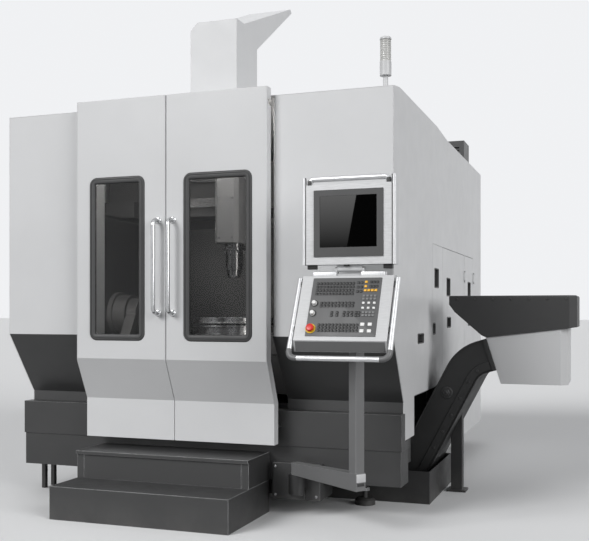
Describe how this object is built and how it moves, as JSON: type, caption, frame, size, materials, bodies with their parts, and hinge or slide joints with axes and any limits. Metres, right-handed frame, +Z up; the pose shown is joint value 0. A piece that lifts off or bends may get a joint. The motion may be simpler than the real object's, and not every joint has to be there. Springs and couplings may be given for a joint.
{
  "type": "cnc machining center",
  "caption": "Enclosed vertical machining centre with sliding front doors, tilting rotary table, swing-arm control panel, front step and a chip conveyor at the right.",
  "frame": {"origin": "middle of the whole machine's footprint, on the floor", "axes": "+X to the operator's right, +Y from the operator to the back of the machine, +Z up"},
  "size_m": [3.2914, 3.7938, 3.2513],
  "materials": {
    "white_paint": "satin",
    "grey_paint": "satin",
    "dark_paint": "satin",
    "black_paint": "satin",
    "light_paint": "satin",
    "casting": "satin",
    "steel": "satin",
    "liner_steel": "matte",
    "chrome": "polished",
    "panel_aluminium": "satin",
    "black_plastic": "matte",
    "key_plastic": "matte",
    "white_plastic": "satin",
    "red_plastic": "gloss",
    "lens_plastic": "gloss",
    "rubber": "matte",
    "window_glass": "clear",
    "screen_glass": "gloss"
  },
  "bodies": {
    "machine": {"machine_bed": "casting", "levelling_feet": "black_paint", "base_skirt": "dark_paint", "left_front_panel": "white_paint", "right_front_panel": "white_paint", "front_aprons": "grey_paint", "left_side_panel": "white_paint", "right_side_panel": "white_paint", "rear_panel": "white_paint", "roof_panel": "white_paint", "door_rails": "steel", "work_area_liner": "liner_steel", "trunnion_bearings": "casting", "bed_rails": "steel", "lower_step": "dark_paint", "upper_step": "dark_paint", "roof_hood": "white_paint", "rear_roof_unit": "grey_paint", "beacon_housing": "white_plastic", "beacon_lens": "lens_plastic", "coolant_tank": "black_paint", "conveyor_casing": "black_paint", "conveyor_belt": "steel", "discharge_chute": "light_paint", "conveyor_head": "black_paint", "conveyor_motor": "casting", "conveyor_leg": "black_paint", "arm_bracket": "dark_paint", "arm_pivot": "black_paint"},
    "left_door": {"left_door_leaf": "white_paint", "left_window_gasket": "rubber", "left_window_pane": "window_glass", "left_door_handle": "chrome"},
    "right_door": {"right_door_leaf": "white_paint", "right_window_gasket": "rubber", "right_window_pane": "window_glass", "right_door_handle": "chrome"},
    "y_beam": {"cross_beam": "casting", "beam_rails": "steel"},
    "x_saddle": {"head_saddle": "casting"},
    "z_ram": {"spindle_ram": "light_paint", "spindle_sleeve": "steel"},
    "spindle": {"spindle_shaft": "steel"},
    "cradle": {"table_cradle": "casting"},
    "table": {"rotary_table": "steel"},
    "arm": {"swing_arm": "light_paint"},
    "panel": {"panel_bracket": "panel_aluminium", "keyboard_housing": "panel_aluminium", "key_plate": "key_plastic", "keyboard_handle": "panel_aluminium"},
    "display": {"display_housing": "panel_aluminium", "display_bezel": "black_plastic", "display_screen": "screen_glass", "display_handle": "panel_aluminium"},
    "emergency_stop": {"stop_button": "red_plastic"},
    "feed_override": {"feed_knob": "white_plastic"},
    "speed_override": {"speed_knob": "white_plastic"},
    "magazine_cover": {"magazine_door": "white_paint"},
    "rear_cover": {"rear_service_door": "white_paint"},
    "cabinet_cover": {"cabinet_door": "white_paint"}
  },
  "joints": [
    {"name": "left_door_slide", "type": "slide", "parent": "machine", "child": "left_door", "axis": [-1, 0, 0], "range_m": [0, 0.475]},
    {"name": "right_door_slide", "type": "slide", "parent": "machine", "child": "right_door", "axis": [1, 0, 0], "range_m": [0, 0.5]},
    {"name": "y_slide", "type": "slide", "parent": "machine", "child": "y_beam", "axis": [0, 1, 0], "range_m": [-0.25, 0.25]},
    {"name": "x_slide", "type": "slide", "parent": "y_beam", "child": "x_saddle", "axis": [1, 0, 0], "range_m": [-0.3, 0.3]},
    {"name": "z_slide", "type": "slide", "parent": "x_saddle", "child": "z_ram", "axis": [0, 0, 1], "range_m": [-0.18, 0.18]},
    {"name": "spindle_turn", "type": "hinge", "parent": "z_ram", "child": "spindle", "pos_m": [-0.43771, -0.72008, 1.35334], "axis": [0, 0, 1], "continuous": true},
    {"name": "table_tilt", "type": "hinge", "parent": "machine", "child": "cradle", "pos_m": [-0.43771, -0.72008, 1.12034], "axis": [1, 0, 0], "range_deg": [-30, 75]},
    {"name": "table_turn", "type": "hinge", "parent": "cradle", "child": "table", "pos_m": [-0.43771, -0.72008, 1.10034], "axis": [0, 0, 1], "continuous": true},
    {"name": "arm_swing", "type": "hinge", "parent": "machine", "child": "arm", "pos_m": [0.20303, -1.34308, 0.242], "axis": [0, 0, 1], "range_deg": [-50, 5]},
    {"name": "panel_turn", "type": "hinge", "parent": "arm", "child": "panel", "pos_m": [0.63204, -1.65937, 1.0803], "axis": [0, 0, 1], "range_deg": [-45, 15]},
    {"name": "display_tilt", "type": "hinge", "parent": "panel", "child": "display", "pos_m": [0.59904, -1.65937, 1.3503], "axis": [1, 0, 0], "range_deg": [-15, 15]},
    {"name": "stop_press", "type": "slide", "parent": "panel", "child": "emergency_stop", "axis": [0, 0.8939, -0.4483], "range_m": [0, 0.005], "stiffness_N_per_m": 2000},
    {"name": "feed_turn", "type": "hinge", "parent": "panel", "child": "feed_override", "pos_m": [0.4471, -1.76589, 1.1767], "axis": [0, -0.8939, 0.4483], "range_deg": [-135, 135]},
    {"name": "speed_turn", "type": "hinge", "parent": "panel", "child": "speed_override", "pos_m": [0.44461, -1.79043, 1.12777], "axis": [0, -0.8939, 0.4483], "range_deg": [-135, 135]},
    {"name": "magazine_hinge", "type": "hinge", "parent": "machine", "child": "magazine_cover", "pos_m": [0.76929, 0.95992, 0.994], "axis": [0, 0, 1], "range_deg": [0, 100]},
    {"name": "rear_hinge", "type": "hinge", "parent": "machine", "child": "rear_cover", "pos_m": [0.76929, 1.42192, 0.994], "axis": [0, 0, 1], "range_deg": [0, 100]},
    {"name": "cabinet_hinge", "type": "hinge", "parent": "machine", "child": "cabinet_cover", "pos_m": [-0.98771, 1.88992, 0.994], "axis": [0, 0, 1], "range_deg": [0, 100]}
  ]
}
